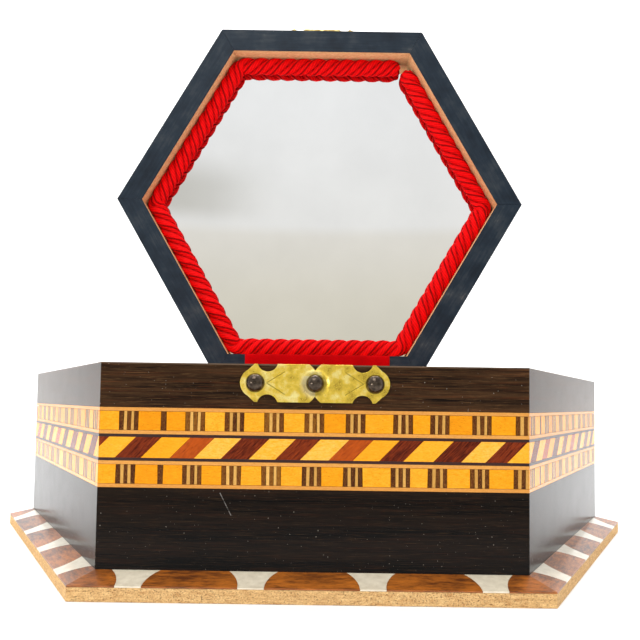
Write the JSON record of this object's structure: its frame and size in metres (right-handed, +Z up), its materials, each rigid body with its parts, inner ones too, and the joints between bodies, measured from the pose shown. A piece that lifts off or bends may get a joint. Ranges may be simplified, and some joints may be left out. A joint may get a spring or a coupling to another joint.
{
  "type": "inlaid wooden jewellery box",
  "caption": "Hexagonal marquetry jewellery box on a wider scalloped base, with a hinged mirror lid, velvet lining and a brass hasp latch.",
  "frame": {"origin": "centre of the base board's underside, where the box rests", "axes": "+Z up, the front with the latch faces -Y, +X is to the right seen from the front; the lid stands open at the rear"},
  "size_m": [0.1514, 0.1422, 0.1634],
  "materials": {
    "dark_veneer": "gloss",
    "raw_wood": "raw",
    "scallop_wood": "satin",
    "amber_wood": "satin",
    "twist_wood": "satin",
    "ebony": "satin",
    "pearl_inlay": "gloss",
    "brass": "polished",
    "dark_steel": "satin",
    "red_velvet": "matt",
    "red_cord": "satin",
    "mirror_glass": "polished",
    "backing_card": "matt"
  },
  "bodies": {
    "box": {"base_board": "raw_wood", "base_scallops": "scallop_wood", "base_pearl_fillers": "pearl_inlay", "wall_front": "dark_veneer", "wall_front_right": "dark_veneer", "wall_rear_right": "dark_veneer", "wall_rear": "dark_veneer", "wall_rear_left": "dark_veneer", "wall_front_left": "dark_veneer", "ladder_strips_upper": "amber_wood", "ladder_strips_lower": "amber_wood", "twist_strips": "twist_wood", "ebony_strings": "ebony", "floor_pad": "red_velvet", "wall_lining": "red_velvet", "hinge_leaf_box_left": "brass", "hinge_leaf_box_right": "brass", "hinge_pins": "dark_steel", "hinge_nails_box": "brass", "keeper_plate": "brass", "keeper_nails": "dark_steel", "keeper_stud": "brass", "velvet_hinge_strip": "red_velvet"},
    "lid": {"lid_rail_front": "dark_veneer", "lid_rail_front_right": "dark_veneer", "lid_rail_rear_right": "dark_veneer", "lid_rail_rear": "dark_veneer", "lid_rail_rear_left": "dark_veneer", "lid_rail_front_left": "dark_veneer", "lid_panel": "raw_wood", "mirror_backing": "backing_card", "mirror_glass": "mirror_glass", "mirror_cord": "red_cord", "hinge_leaf_lid_left": "brass", "hinge_leaf_lid_right": "brass", "hinge_nails_lid": "brass", "catch_plate": "brass", "catch_nails": "dark_steel", "hasp_pin": "dark_steel", "top_edge_boards": "dark_veneer", "top_band": "amber_wood", "top_field": "scallop_wood", "top_star_light": "pearl_inlay", "top_star_dark": "ebony", "top_star_tips": "amber_wood"},
    "hasp": {"hasp": "brass"}
  },
  "joints": [
    {"name": "lid_hinge", "type": "hinge", "parent": "box", "child": "lid", "pos_m": [0, 0.06222, 0.0382], "axis": [-1, 0, 0], "range_deg": [-90, 0], "deforming": ["velvet_hinge_strip"]},
    {"name": "hasp_swing", "type": "hinge", "parent": "lid", "child": "hasp", "pos_m": [0, 0.06552, 0.16259], "axis": [1, 0, 0], "range_deg": [0, 180]}
  ]
}
